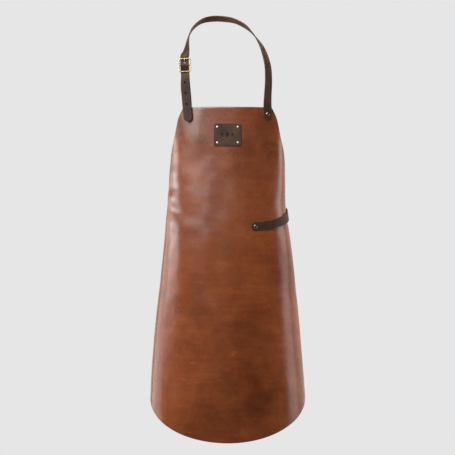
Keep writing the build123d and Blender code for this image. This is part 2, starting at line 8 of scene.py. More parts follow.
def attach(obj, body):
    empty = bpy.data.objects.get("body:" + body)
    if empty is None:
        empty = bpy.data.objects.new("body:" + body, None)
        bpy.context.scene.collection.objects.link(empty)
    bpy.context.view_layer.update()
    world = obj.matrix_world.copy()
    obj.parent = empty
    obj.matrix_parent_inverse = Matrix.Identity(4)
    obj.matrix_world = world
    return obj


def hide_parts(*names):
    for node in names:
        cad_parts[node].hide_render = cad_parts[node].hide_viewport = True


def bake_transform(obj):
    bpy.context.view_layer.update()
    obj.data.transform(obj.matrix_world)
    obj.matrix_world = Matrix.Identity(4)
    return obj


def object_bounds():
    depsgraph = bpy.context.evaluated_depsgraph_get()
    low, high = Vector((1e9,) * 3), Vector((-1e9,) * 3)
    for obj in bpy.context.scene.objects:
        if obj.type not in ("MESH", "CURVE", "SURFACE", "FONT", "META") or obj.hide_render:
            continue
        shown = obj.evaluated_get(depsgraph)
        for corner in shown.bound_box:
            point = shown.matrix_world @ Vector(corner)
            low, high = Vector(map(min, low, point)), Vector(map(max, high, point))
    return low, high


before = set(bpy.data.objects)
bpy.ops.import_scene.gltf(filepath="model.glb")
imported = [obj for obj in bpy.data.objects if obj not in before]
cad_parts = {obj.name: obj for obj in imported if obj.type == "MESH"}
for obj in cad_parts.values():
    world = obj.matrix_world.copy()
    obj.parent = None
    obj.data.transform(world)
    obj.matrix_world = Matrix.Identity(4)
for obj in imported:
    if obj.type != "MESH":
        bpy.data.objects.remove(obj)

# Leather welding apron on an unseen wearer. Metres, +Z up, the apron's outer face towards -Y.
# "drop" is the distance below the bib's top edge, "turn" the angle round the wearer from the front.
cad_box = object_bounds()
MM = 0.001

# Apron sheet, as in the CAD model: an ellipse in every horizontal section.
LEATHER = 2.2 * MM
BIB_TOP_Z = -249 * MM
APRON_DROP = 851 * MM
HALF_WIDTH_TOP = 147 * MM
HALF_WIDTH_GAIN = 58 * MM
WIDTH_GAIN_FROM = 40 * MM
WIDTH_GAIN_OVER = 800 * MM
HALF_DEPTH_TOP = 52 * MM
HALF_DEPTH_GAIN = 80 * MM
DEPTH_GAIN_ABOVE = 20 * MM
DEPTH_GAIN_OVER = 700 * MM
FRONT_Y_TOP = -160 * MM
FRONT_Y_GAIN = -45 * MM
# Cut edge in side view, as (drop, y).
ARMHOLE = [(0, -141), (30, -133.5), (80, -124.5), (157, -100), (250, -71), (340, -52), (640, -24)]
SIDE_Y = -24 * MM
HEM_BACK_DROP = 710 * MM
HEM_FRONT_Y = -205 * MM
HEM_CORNER_RADIUS = 60 * MM
COLUMN_END_BETWEEN = (600 * MM, 860 * MM)

# Straps and hardware, as in the CAD model.
STRAP_WIDTH = 22 * MM
STRAP_THICK = 2.8 * MM
TAB_THICK = 2.6 * MM
SKIVED = 1.6 * MM
LAY_GAP = 0.25 * MM
NECK_STUD_X = 102.0 * MM
NECK_STUD_DROP = 17.5 * MM
STRAP_PAST_STUD = 3.0 * MM
STRAP_LEAVES_BIB = 11 * MM
OVER_EDGE_TWIST = 14
WAIST_STUD_TURN = 26.0
WAIST_DROP_LOW = 305 * MM
WAIST_DROP_BACK = 243 * MM
WAIST_CLIMB_POWER = 1.5
SIDE_STUD_TURN = -100.0
SIDE_TURN = 97
STRAP_HOLE_RADIUS = 2.25 * MM
SLOT_RADIUS = 1.9 * MM
SLOT_LENGTH = 3 * MM
SLOT_ABOVE_BAR = 6 * MM
PUNCH_REACH = 6 * MM
# Route of a strap through a buckle, as (along, out) in the buckle's own frame, millimetres.
BUCKLE_PASS = [(30, -2.0), (20.5, -3.35), (15.3, -3.35), (8, -0.9), (0, 1.65), (-8, -0.9), (-15.3, -3.35),
               (-18.3, -3.25), (-24, -1.9), (-30, -1.2)]
# Stations of the neck strap over the nape, (place, turn of the strap's outer face from the front), millimetres.
NECK_LOOP = [
    ((103.6, -142.2, -215.0), 31), ((105.4, -139.0, -179.0), 36), ((103.8, -131.0, -142.0), 41),
    ((95.6, -117.0, -106.0), 50), ((84.4, -97.0, -77.0), 63), ((67.6, -70.0, -49.4), 84),
    ((49.6, -42.0, -26.6), 103), ((20.0, -16.0, -6.6), 112), ((-9.0, -3.0, 1.0), 120),
    ((-38.0, 0.0, 2.4), 121), ((-65.0, -12.0, -4.6), 113), ((-84.3, -38.0, -21.8), 99),
    ((-95.4, -70.0, -41.5), 88), ((-101.3, -98.0, -60.5), 75), ((-104.2, -119.0, -79.0), 64),
    ((-105.6, -133.0, -94.5), 49), ((-107.2, -140.6, -107.5), 34),
]
NECK_TAIL = [(-108.6, -151.2, -197.0), (-105.9, -152.6, -228.0), (-103.2, -154.2, -258.0), (-101.8, -155.0, -275.0)]
NECK_TAIL_HOLES = [(-109.0, -150.8, -186.4), (-107.2, -151.9, -213.6), (-104.7, -153.3, -241.2)]


def ease(part):
    part = min(max(part, 0.0), 1.0)
    return part * part * (3 - 2 * part)


def half_width(drop):
    """Half the sheet's width at a drop."""
    return HALF_WIDTH_TOP + HALF_WIDTH_GAIN * ease((drop - WIDTH_GAIN_FROM) / WIDTH_GAIN_OVER)


def half_depth(drop):
    """The ellipse's other half axis, front to back."""
    return HALF_DEPTH_TOP + HALF_DEPTH_GAIN * ease((drop + DEPTH_GAIN_ABOVE) / DEPTH_GAIN_OVER)


def front_y(drop):
    return FRONT_Y_TOP + FRONT_Y_GAIN * ease(drop / APRON_DROP)


# The waist strap draws the panel's right side in a little, which the CAD model leaves out.
WAIST_PULL = 6 * MM
WAIST_PULL_DROP = 258 * MM
WAIST_PULL_REACH = 60 * MM


def side_pull(side, drop):
    """How far in the right side is drawn at a drop."""
    return WAIST_PULL * max(side, 0.0) ** 4 * math.exp(-((drop - WAIST_PULL_DROP) / WAIST_PULL_REACH) ** 2)


def sheet_point(turn, drop):
    """A point on the sheet's outer face."""
    side = math.sin(math.radians(turn))
    y = front_y(drop) + half_depth(drop) * (1 - math.cos(math.radians(turn)))
    return Vector((half_width(drop) * side - side_pull(side, drop), y, BIB_TOP_Z - drop))


def sheet_normal(turn, drop):
    around = sheet_point(turn + 1, drop) - sheet_point(turn - 1, drop)
    down = sheet_point(turn, drop + MM) - sheet_point(turn, drop - MM)
    return down.cross(around).normalized()


def off_sheet(turn, drop, off):
    return sheet_point(turn, drop) + sheet_normal(turn, drop) * off


def hermite(pairs, x):
    """A smooth curve y(x) through the pairs."""
    last = len(pairs) - 1
    i = max(0, min(last - 1, sum(1 for p in pairs if p[0] <= x) - 1))
    (x0, y0), (x1, y1) = pairs[i], pairs[i + 1]
    before, after = pairs[max(i - 1, 0)], pairs[min(i + 2, last)]
    slope0 = (y1 - before[1]) / (x1 - before[0])
    slope1 = (after[1] - y0) / (after[0] - x0)
    t = min(max((x - x0) / (x1 - x0), 0.0), 1.0)
    h = x1 - x0
    return ((2 * t**3 - 3 * t**2 + 1) * y0 + (t**3 - 2 * t**2 + t) * h * slope0
            + (3 * t**2 - 2 * t**3) * y1 + (t**3 - t**2) * h * slope1)


def edge_turn(drop):
    """Half the angle that the sheet wraps at a drop."""
    y = hermite([(d * MM, y * MM) for d, y in ARMHOLE], drop)
    cosine = 1 - (y - front_y(drop)) / half_depth(drop)
    return math.degrees(math.acos(min(max(cosine, -1), 1)))


def hem_drop(y):
    """Side view of the hem: a straight cut that turns up into the side edge on an arc."""
    slope = (HEM_BACK_DROP - APRON_DROP) / (SIDE_Y - HEM_FRONT_Y)
    tangent = HEM_CORNER_RADIUS / math.tan((math.pi / 2 + math.atan(-slope)) / 2)
    arc_y = SIDE_Y - HEM_CORNER_RADIUS
    arc_drop = HEM_BACK_DROP - tangent
    straight = APRON_DROP + slope * (y - HEM_FRONT_Y)
    meets_y = SIDE_Y - tangent * math.cos(math.atan(-slope))
    if y < meets_y:
        return straight
    reach = HEM_CORNER_RADIUS**2 - (y - arc_y) ** 2
    return arc_drop + math.sqrt(max(reach, 0.0))


def column_end(across):
    """Drop at which a column of the sheet, -1 to 1 across it, meets the hem."""
    low, high = COLUMN_END_BETWEEN
    for _ in range(30):
        drop = (low + high) / 2
        if drop < hem_drop(sheet_point(across * edge_turn(drop), drop).y):
            low = drop
        else:
            high = drop
    return low


# ---------------------------------------------------------------- mesh helpers
def finish_mesh(name, bm, materials, smooth=True):
    mesh = bpy.data.meshes.new(name)
    bm.to_mesh(mesh)
    bm.free()
    for material in materials:
        mesh.materials.append(material)
    if smooth:
        mesh.shade_smooth()
    piece = bpy.data.objects.new(name, mesh)
    bpy.context.scene.collection.objects.link(piece)
    return piece


def grid_rim(rows, columns):
    """The (row, column) places round the border of a grid, in order."""
    rim = [(0, c) for c in range(columns + 1)] + [(r, columns) for r in range(1, rows + 1)]
    return rim + [(rows, c) for c in range(columns - 1, -1, -1)] + [(r, 0) for r in range(rows - 1, 0, -1)]


def apply_modifier(piece, kind, **settings):
    modifier = piece.modifiers.new(kind.lower(), kind)
    for key, value in settings.items():
        setattr(modifier, key, value)
    evaluated = piece.evaluated_get(bpy.context.evaluated_depsgraph_get())
    mesh = bpy.data.meshes.new_from_object(evaluated)
    piece.modifiers.clear()
    old = piece.data
    piece.data = mesh
    bpy.data.meshes.remove(old)


def catmull(values, i, t):
    last = len(values) - 1
    a, b = values[max(i - 1, 0)], values[i]
    c, d = values[min(i + 1, last)], values[min(i + 2, last)]
    return (b * 2 + (c - a) * t + (a * 2 - b * 5 + c * 4 - d) * t**2 + (b * 3 - a - c * 3 + d) * t**3) * 0.5


def smooth_route(points, outwards, step=2.5 * MM):
    """Stations (point, outward, along) on a smooth curve through the points."""
    route = []
    for i in range(len(points) - 1):
        count = max(1, round((points[i + 1] - points[i]).length / step))
        for k in range(count):
            route.append((catmull(points, i, k / count), catmull(outwards, i, k / count)))
    route.append((points[-1], outwards[-1]))
    stations = []
    last = len(route) - 1
    for i, (point, outward) in enumerate(route):
        along = (route[min(i + 1, last)][0] - route[max(i - 1, 0)][0]).normalized()
        face = (outward - along * outward.dot(along)).normalized()
        stations.append((point, face, along))
    return stations


def round_ends(stations, start, end, radius=STRAP_WIDTH / 2):
    """Adds a half round before the first station or after the last, and gives each station its half width."""
    rings = [(point, face, along, radius) for point, face, along in stations]
    steps = 9
    extra = []
    for k in range(1, steps + 1):
        angle = math.pi / 2 * k / steps
        extra.append((radius * math.sin(angle), max(radius * math.cos(angle), 0.25 * MM)))
    if start:
        point, face, along = stations[0]
        rings = [(point - along * out, face, along, half) for out, half in reversed(extra)] + rings
    if end:
        point, face, along = stations[-1]
        rings += [(point + along * out, face, along, half) for out, half in extra]
    return rings


def ribbon(name, rings, thickness, materials, edge_round=0.7 * MM, crown=0.15 * MM):
    """A strap swept through rings (point, outward, along, half width). Faces: 0 grain, 1 edge, 2 flesh.
    thickness is a number or a function of the ring's index."""
    bm = bmesh.new()
    across = 8
    profile_rows = []
    for index, (point, face, along, half) in enumerate(rings):
        thick = thickness(index) if callable(thickness) else thickness
        side = along.cross(face).normalized()
        radius = min(edge_round, half * 0.9, thick * 0.45)
        flat, deep = half - radius, thick / 2 - radius
        outline = []
        for k in range(across + 1):
            part = k / across * 2 - 1
            outline.append((part * flat, thick / 2 + crown * (1 - part * part) - crown * 0.5, 0))
        quarters = [math.pi / 2 * k / 4 for k in range(1, 4)]
        outline += [(flat + radius * math.sin(a), deep + radius * math.cos(a), 1) for a in quarters]
        outline.append((half, 0.0, 1))
        outline += [(flat + radius * math.cos(a), -deep - radius * math.sin(a), 1) for a in quarters]
        for k in range(across + 1):
            part = 1 - k / across * 2
            outline.append((part * flat, -thick / 2, 2))
        outline += [(-flat - radius * math.sin(a), -deep - radius * math.cos(a), 1) for a in quarters]
        outline.append((-half, 0.0, 1))
        outline += [(-flat - radius * math.cos(a), deep + radius * math.sin(a), 1) for a in quarters]
        row = [bm.verts.new(point + side * u + face * w) for u, w, _ in outline]
        kinds = [kind for _, _, kind in outline]
        profile_rows.append(row)
    count = len(profile_rows[0])
    for lower, upper in zip(profile_rows, profile_rows[1:]):
        for k in range(count):
            nxt = (k + 1) % count
            quad = bm.faces.new((lower[k], lower[nxt], upper[nxt], upper[k]))
            quad.material_index = kinds[k] if kinds[k] == kinds[nxt] else 1
    for row, flip in ((profile_rows[0], True), (profile_rows[-1], False)):
        cap = bm.faces.new(row if not flip else list(reversed(row)))
        cap.material_index = 1
    bmesh.ops.recalc_face_normals(bm, faces=bm.faces)
    return finish_mesh(name, bm, materials)


WIDE_FACE = 4e-4


def drill(piece, cutters):
    """Cuts holes through a piece; each cutter is an object, and is removed."""
    for cutter in cutters:
        apply_modifier(piece, "BOOLEAN", object=cutter, operation="DIFFERENCE", solver="EXACT")
        bpy.data.objects.remove(cutter)
    piece.data.shade_smooth()
    for polygon in piece.data.polygons:
        if polygon.area > WIDE_FACE:
            polygon.use_smooth = False


def frame_matrix(origin, x_dir, z_dir):
    z_axis = Vector(z_dir).normalized()
    x_axis = (Vector(x_dir) - z_axis * Vector(x_dir).dot(z_axis)).normalized()
    y_axis = z_axis.cross(x_axis)
    matrix = Matrix((x_axis, y_axis, z_axis)).transposed().to_4x4()
    matrix.translation = Vector(origin)
    return matrix


def cutter_rod(at, radius, depth, length, material):
    """A round or oblong punch; at is a matrix whose local z is the punch's axis, local y its long way."""
    bm = bmesh.new()
    sides = 28
    outline = []
    for k in range(sides):
        angle = 2 * math.pi * k / sides
        shift = length / 2 if math.sin(angle) > 0 else -length / 2
        outline.append((radius * math.cos(angle), radius * math.sin(angle) + shift))
    low = [bm.verts.new(at @ Vector((x, y, -depth))) for x, y in outline]
    high = [bm.verts.new(at @ Vector((x, y, depth))) for x, y in outline]
    for k in range(sides):
        nxt = (k + 1) % sides
        bm.faces.new((low[k], low[nxt], high[nxt], high[k]))
    bm.faces.new(list(reversed(low)))
    bm.faces.new(high)
    bmesh.ops.recalc_face_normals(bm, faces=bm.faces)
    return finish_mesh("punch", bm, [material], smooth=False)


def cutter_box(at, size, material):
    bm = bmesh.new()
    bmesh.ops.create_cube(bm, size=1.0, matrix=at @ Matrix.Diagonal(Vector(size)).to_4x4())
    bmesh.ops.recalc_face_normals(bm, faces=bm.faces)
    return finish_mesh("punch", bm, [material], smooth=False)


def tube(bm, path, radii, sides=16, closed=False, flatten=1.0, up=None):
    """Sweeps a round section through the path; up is the direction that flatten squeezes."""
    rows = []
    last = len(path) - 1
    for i, point in enumerate(path):
        if closed:
            along = (path[(i + 1) % len(path)] - path[i - 1]).normalized()
        else:
            along = (path[min(i + 1, last)] - path[max(i - 1, 0)]).normalized()
        height = (up - along * up.dot(along)).normalized()
        side = along.cross(height)
        radius = radii[i] if isinstance(radii, list) else radii
        row = []
        for k in range(sides):
            angle = 2 * math.pi * k / sides
            row.append(bm.verts.new(point + side * (radius * math.cos(angle))
                                    + height * (radius * flatten * math.sin(angle))))
        rows.append(row)
    pairs = list(zip(rows, rows[1:])) + ([(rows[-1], rows[0])] if closed else [])
    for lower, upper in pairs:
        for k in range(sides):
            nxt = (k + 1) % sides
            bm.faces.new((lower[k], lower[nxt], upper[nxt], upper[k]))
    if not closed:
        bm.faces.new(list(reversed(rows[0])))
        bm.faces.new(rows[-1])


def lathe(name, at, profile, materials, sides=40):
    """Turns a profile of (radius, height) about the local z of a matrix."""
    bm = bmesh.new()
    rows = []
    for radius, height in profile:
        if radius < 1e-6:
            rows.append([bm.verts.new(at @ Vector((0, 0, height)))])
        else:
            rows.append([bm.verts.new(at @ Vector((radius * math.cos(2 * math.pi * k / sides),
                                                   radius * math.sin(2 * math.pi * k / sides), height)))
                         for k in range(sides)])
    for lower, upper in zip(rows, rows[1:]):
        for k in range(sides):
            nxt = (k + 1) % sides
            corners = [lower[k % len(lower)], lower[nxt % len(lower)], upper[nxt % len(upper)], upper[k % len(upper)]]
            distinct = []
            for corner in corners:
                if corner not in distinct:
                    distinct.append(corner)
            if len(distinct) > 2:
                bm.faces.new(distinct)
    bmesh.ops.recalc_face_normals(bm, faces=bm.faces)
    return finish_mesh(name, bm, materials)


# ---------------------------------------------------------------- materials
class Nodes:
    """A short way to build a node material."""

    def __init__(self, name):
        self.material = bpy.data.materials.new(name)
        self.material.use_nodes = True
        self.tree = self.material.node_tree
        self.tree.nodes.clear()
        self.shader = self.add("ShaderNodeBsdfPrincipled")
        self.link(self.shader, "BSDF", self.add("ShaderNodeOutputMaterial"), "Surface")
        self.place = self.add("ShaderNodeTexCoord")

    def add(self, kind, **settings):
        node = self.tree.nodes.new(kind)
        for key, value in settings.items():
            setattr(node, key, value)
        return node

    def link(self, source, output, target, entry):
        self.tree.links.new(source.outputs[output], target.inputs[entry])

    def stretch(self, scale):
        mapping = self.add("ShaderNodeMapping")
        mapping.inputs["Scale"].default_value = scale
        self.link(self.place, "Object", mapping, "Vector")
        return mapping

    def noise(self, scale, detail=3.0, roughness=0.5, distortion=0.0, stretch=(1, 1, 1)):
        node = self.add("ShaderNodeTexNoise")
        node.inputs["Scale"].default_value = scale
        node.inputs["Detail"].default_value = detail
        node.inputs["Roughness"].default_value = roughness
        node.inputs["Distortion"].default_value = distortion
        self.link(self.stretch(stretch), "Vector", node, "Vector")
        return node

    def voronoi(self, scale):
        node = self.add("ShaderNodeTexVoronoi")
        node.inputs["Scale"].default_value = scale
        self.link(self.stretch((1, 1, 1)), "Vector", node, "Vector")
        return node

    def ramp(self, source, output, stops):
        node = self.add("ShaderNodeValToRGB")
        elements = node.color_ramp.elements
        while len(elements) < len(stops):
            elements.new(0.5)
        for element, (position, colour) in zip(elements, stops):
            element.position = position
            element.color = (*colour, 1) if hasattr(colour, "__len__") else (colour, colour, colour, 1)
        self.link(source, output, node, "Fac")
        return node

    def mix(self, factor, first, second, blend="MIX"):
        """Each of factor, first, second is a number, a colour or (node, output)."""
        node = self.add("ShaderNodeMix", data_type="RGBA", blend_type=blend)
        for entry, value in ((0, factor), (6, first), (7, second)):
            if isinstance(value, tuple) and isinstance(value[0], bpy.types.Node):
                self.tree.links.new(value[0].outputs[value[1]], node.inputs[entry])
            elif hasattr(value, "__len__"):
                node.inputs[entry].default_value = (*value, 1)
            else:
                node.inputs[entry].default_value = value
        return node

    def bump(self, source, output, strength, distance, below=None):
        node = self.add("ShaderNodeBump")
        node.inputs["Strength"].default_value = strength
        node.inputs["Distance"].default_value = distance
        self.link(source, output, node, "Height")
        if below is not None:
            self.link(below, "Normal", node, "Normal")
        return node

    def height(self, low, high, below, above):
        """A value that goes from below to above between two heights."""
        split = self.add("ShaderNodeSeparateXYZ")
        self.link(self.place, "Object", split, "Vector")
        node = self.add("ShaderNodeMapRange", interpolation_type="SMOOTHSTEP")
        for entry, value in (("From Min", low), ("From Max", high), ("To Min", below), ("To Max", above)):
            node.inputs[entry].default_value = value
        self.link(split, "Z", node, "Value")
        return node

    def settle(self, **sockets):
        for entry, value in sockets.items():
            self.shader.inputs[entry.replace("_", " ")].default_value = value


def srgb(red, green, blue):
    def linear(value):
        value /= 255
        return value / 12.92 if value <= 0.04045 else ((value + 0.055) / 1.055) ** 2.4
    return (linear(red), linear(green), linear(blue))


# The hide's shine rises from the skirt to the bib: low z, high z, level below, level above.
SHINE = (-0.68, -0.48, 0.3, 0.66)


def pull_up_leather():
    """Oiled brown leather: cloudy colour where the oil has moved, fine grain, a few pale rubs and scratches."""
    n = Nodes("pull_up_leather")
    clouds = n.noise(4.2, 4.0, 0.55, 0.6, (1, 1, 0.8))
    patches = n.noise(17.0, 5.0, 0.6, 0.4)
    base = n.ramp(clouds, "Fac", [(0.30, srgb(84, 38, 16)), (0.50, srgb(115, 57, 28)), (0.72, srgb(130, 69, 35))])
    mottled = n.ramp(patches, "Fac", [(0.28, srgb(78, 36, 16)), (0.50, srgb(113, 57, 28)), (0.78, srgb(140, 78, 40))])
    colour = n.mix(0.4, (base, "Color"), (mottled, "Color"))
    fine = n.noise(160.0, 4.0, 0.65)
    speckle = n.ramp(fine, "Fac", [(0.25, 0.85), (0.55, 1.0), (0.8, 1.1)])
    colour = n.mix(1.0, (colour, 2), (speckle, "Color"), "MULTIPLY")
    lines = n.noise(42.0, 3.0, 0.6, 0.5, (0.3, 0.3, 2.2))
    drawn = n.ramp(lines, "Fac", [(0.3, 0.88), (0.7, 1.1)])
    colour = n.mix(1.0, (colour, 2), (drawn, "Color"), "MULTIPLY")
    rubs = n.noise(26.0, 3.0, 0.7, 0.8, (1, 1, 2.2))
    rub_mask = n.ramp(rubs, "Fac", [(0.68, 0.0), (0.80, 0.5)])
    colour = n.mix((rub_mask, "Color"), (colour, 2), srgb(182, 104, 44))
    streaks = n.noise(34.0, 2.0, 0.5, 1.5, (0.35, 0.35, 3.0))
    streak_mask = n.ramp(streaks, "Fac", [(0.70, 0.0), (0.74, 0.25), (0.78, 0.0)])
    colour = n.mix((streak_mask, "Color"), (colour, 2), srgb(190, 118, 60))
    n.link(colour, 2, n.shader, "Base Color")
    wax = n.noise(12.0, 4.0, 0.6, 0.3)
    roughness = n.ramp(wax, "Fac", [(0.3, 0.23), (0.7, 0.32)])
    n.link(roughness, "Color", n.shader, "Roughness")
    pores = n.voronoi(900.0)
    grain = n.noise(420.0, 5.0, 0.6)
    slow = n.noise(30.0, 3.0, 0.5)
    bump = n.bump(slow, "Fac", 0.35, 0.9 * MM)
    bump = n.bump(grain, "Fac", 0.16, 0.2 * MM, bump)
    bump = n.bump(pores, "Distance", 0.14, 0.1 * MM, bump)
    n.link(bump, "Normal", n.shader, "Normal")
    shine = n.height(*SHINE)
    n.link(shine, "Result", n.shader, "Specular IOR Level")
    n.settle(IOR=1.5)
    return n.material


def flesh_side():
    """The rough inner face of the hide."""
    n = Nodes("hide_flesh_side")
    nap = n.noise(300.0, 6.0, 0.7)
    clouds = n.noise(9.0, 4.0, 0.55)
    base = n.ramp(clouds, "Fac", [(0.3, srgb(104, 64, 40)), (0.7, srgb(140, 92, 60))])
    fuzz = n.ramp(nap, "Fac", [(0.25, 0.72), (0.75, 1.2)])
    colour = n.mix(1.0, (base, "Color"), (fuzz, "Color"), "MULTIPLY")
    n.link(colour, 2, n.shader, "Base Color")
    n.link(n.bump(nap, "Fac", 0.5, 0.5 * MM), "Normal", n.shader, "Normal")
    n.settle(Roughness=0.9, Sheen_Weight=0.25, Sheen_Roughness=0.6)
    return n.material


def hide_edge(name, dark, light):
    """A cut leather edge: fibres in bands, burnished here and there."""
    n = Nodes(name)
    fibres = n.noise(700.0, 4.0, 0.7)
    colour = n.ramp(fibres, "Fac", [(0.3, dark), (0.7, light)])
    n.link(colour, "Color", n.shader, "Base Color")
    n.link(n.bump(fibres, "Fac", 0.4, 0.3 * MM), "Normal", n.shader, "Normal")
    n.settle(Roughness=0.5)
    return n.material


def strap_leather(name, dark, mid, light, gloss):
    n = Nodes(name)
    clouds = n.noise(26.0, 5.0, 0.6, 0.3)
    base = n.ramp(clouds, "Fac", [(0.3, dark), (0.55, mid), (0.8, light)])
    fine = n.noise(380.0, 4.0, 0.6)
    speckle = n.ramp(fine, "Fac", [(0.3, 0.82), (0.7, 1.14)])
    colour = n.mix(1.0, (base, "Color"), (speckle, "Color"), "MULTIPLY")
    n.link(colour, 2, n.shader, "Base Color")
    wax = n.noise(60.0, 3.0, 0.6)
    roughness = n.ramp(wax, "Fac", [(0.3, gloss), (0.7, gloss + 0.12)])
    n.link(roughness, "Color", n.shader, "Roughness")
    pores = n.voronoi(800.0)
    bump = n.bump(fine, "Fac", 0.14, 0.25 * MM)
    bump = n.bump(pores, "Distance", 0.14, 0.15 * MM, bump)
    n.link(bump, "Normal", n.shader, "Normal")
    n.settle(IOR=1.48, Specular_IOR_Level=0.26)
    return n.material


def metal(name, dark, light, roughness):
    """Cast or plated metal with tarnish in patches and fine handling scratches."""
    n = Nodes(name)
    tarnish = n.noise(220.0, 4.0, 0.6)
    colour = n.ramp(tarnish, "Fac", [(0.3, dark), (0.7, light)])
    n.link(colour, "Color", n.shader, "Base Color")
    scratch = n.noise(500.0, 3.0, 0.6, 0.0, (1, 1, 6))
    rough = n.ramp(scratch, "Fac", [(0.3, roughness), (0.75, roughness + 0.16)])
    n.link(rough, "Color", n.shader, "Roughness")
    n.link(n.bump(scratch, "Fac", 0.12, 0.08 * MM), "Normal", n.shader, "Normal")
    n.settle(Metallic=1.0)
    return n.material


HIDE = pull_up_leather()
FLESH = flesh_side()
HIDE_EDGE = hide_edge("hide_cut_edge", srgb(120, 70, 44), srgb(176, 118, 82))
STRAP = strap_leather("strap_leather", srgb(40, 25, 17), srgb(60, 39, 27), srgb(80, 53, 37), 0.44)
STRAP_FLESH = strap_leather("strap_flesh", srgb(54, 32, 20), srgb(80, 48, 30), srgb(104, 64, 41), 0.7)
STRAP_EDGE = hide_edge("strap_burnished_edge", srgb(40, 24, 17), srgb(88, 54, 36))
LABEL = strap_leather("label_leather", srgb(46, 28, 19), srgb(66, 43, 30), srgb(92, 62, 44), 0.55)
LABEL_STAMP = strap_leather("label_burnt_stamp", srgb(20, 13, 10), srgb(30, 20, 15), srgb(40, 27, 20), 0.6)
BRASS = metal("polished_brass", srgb(140, 122, 78), srgb(196, 178, 128), 0.22)
NICKEL = metal("antique_nickel", srgb(58, 52, 46), srgb(132, 124, 114), 0.26)
# A paler copy of the antique nickel for the label rivets' caps: painted highlight, so the small caps show the
# brightness of their glints.
NICKEL_WITH_PAINTED_HIGHLIGHT = metal("nickel_painted_highlight", srgb(168, 160, 148), srgb(232, 226, 214), 0.22)
STRAP_SET = [STRAP, STRAP_EDGE, STRAP_FLESH]


# ---------------------------------------------------------------- apron sheet
# Where the wearer's movement and the side stud pull soft folds: (turn, drop, reach round, reach down, slant, height).
FOLDS = [
    (-64, 262 * MM, 24, 13 * MM, 1.1, -1.2 * MM),
    (-70, 233 * MM, 18, 14 * MM, 0.3, 1.1 * MM),
    (-66, 203 * MM, 24, 14 * MM, -0.3, -1.0 * MM),
    (-70, 168 * MM, 22, 17 * MM, 0.2, 0.8 * MM),
    (-60, 302 * MM, 28, 18 * MM, 0.5, 0.9 * MM),
    (-75, 348 * MM, 18, 12 * MM, 0.1, -0.7 * MM),
    (-35, 60 * MM, 12, 45 * MM, 0.0, 1.0 * MM),
]


def relief(turn, drop):
    """How far the hide stands off its plain curve: slow waves and a few soft folds."""
    place = Vector((math.radians(turn) * 0.2, 0.0, drop))
    height = 1.1 * MM * noise.noise(place * 9.0 + Vector((3.1, 0, 7.7)))
    height += 0.45 * MM * noise.noise(place * 24.0 + Vector((9.4, 0, 1.3)))
    for fold_turn, fold_drop, reach_turn, reach_drop, slant, lift in FOLDS:
        round_way = (turn - fold_turn) / reach_turn
        down_way = (drop - fold_drop) / reach_drop - slant * round_way
        height += lift * math.exp(-round_way**2 - down_way**2)
    return height


def build_apron():
    columns, rows = 160, 240
    bm = bmesh.new()
    outer, inner = [], []
    crosswise = []
    for c in range(columns + 1):
        even = c / columns * 2 - 1
        crosswise.append(0.7 * even + 0.3 * math.sin(math.pi / 2 * even))
    ends = [column_end(across) for across in crosswise]
    for r in range(rows + 1):
        outer_row, inner_row = [], []
        for across, end in zip(crosswise, ends):
            drop = end * r / rows
            turn = across * edge_turn(drop)
            normal = sheet_normal(turn, drop)
            surface = sheet_point(turn, drop) + normal * relief(turn, drop)
            outer_row.append(bm.verts.new(surface))
            inner_row.append(bm.verts.new(surface - normal * LEATHER))
        outer.append(outer_row)
        inner.append(inner_row)
    for r in range(rows):
        for c in range(columns):
            bm.faces.new((outer[r][c], outer[r + 1][c], outer[r + 1][c + 1], outer[r][c + 1]))
            back = bm.faces.new((inner[r][c], inner[r][c + 1], inner[r + 1][c + 1], inner[r + 1][c]))
            back.material_index = 2
    section = [(0.35, 0.15), (0.5, 0.5), (0.35, 0.85)]
    loops = []
    for r, c in grid_rim(rows, columns):
        front, back = outer[r][c], inner[r][c]
        if r and c == columns:
            near = outer[r][c - 1]
        elif r in (0, rows):
            near = outer[abs(r - 1)][c]
        else:
            near = outer[r][1]
        outward = (front.co - near.co).normalized()
        through = back.co - front.co
        loops.append([front] + [bm.verts.new(front.co + outward * (out * MM) + through * part)
                                for out, part in section] + [back])
    for here, there in zip(loops, loops[1:] + loops[:1]):
        for k in range(len(here) - 1):
            strip = bm.faces.new((here[k], there[k], there[k + 1], here[k + 1]))
            strip.material_index = 1
    bmesh.ops.recalc_face_normals(bm, faces=bm.faces)
    return finish_mesh("apron_sheet", bm, [HIDE, HIDE_EDGE, FLESH])


def stands_for(piece, slot, body, *nodes):
    """Puts a piece on its body in place of the CAD nodes that it shows."""
    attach(piece, body)
    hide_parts(*nodes)


apron = build_apron()
stands_for(apron, "apron_leather", "apron", "apron_panel")


# ---------------------------------------------------------------- straps
neck_turn = math.degrees(math.asin(NECK_STUD_X / half_width(NECK_STUD_DROP)))
# The buckles' own frames: local x across the strap, y up the strap, z out of the frame.
NECK_BUCKLE_PLACE = Vector((-109.6, -148.5, -141.0)) * MM
NECK_BUCKLE_ACROSS = (0.998, 0, 0.05)
NECK_BUCKLE_OUT = (0, -0.995, 0.10)
neck_buckle = frame_matrix(NECK_BUCKLE_PLACE, NECK_BUCKLE_ACROSS, NECK_BUCKLE_OUT)


def mm_points(points):
    return [Vector(point) * MM for point in points]


def in_buckle(buckle, along, out):
    return buckle @ Vector((0, along * MM, out * MM))


def strap_foot(turn, thickness):
    """A neck strap's lower stations: its end below the stud, the stud, the bib's top edge and just over it."""
    off = LAY_GAP + thickness / 2
    stud = off_sheet(turn, NECK_STUD_DROP, off)
    return [off_sheet(turn, NECK_STUD_DROP + STRAP_PAST_STUD, off), stud,
            Vector((stud.x, stud.y, BIB_TOP_Z - MM)), Vector((stud.x, stud.y, BIB_TOP_Z + STRAP_LEAVES_BIB))]


def hole_punch(at):
    return cutter_rod(at, STRAP_HOLE_RADIUS, PUNCH_REACH, 0, STRAP_EDGE)


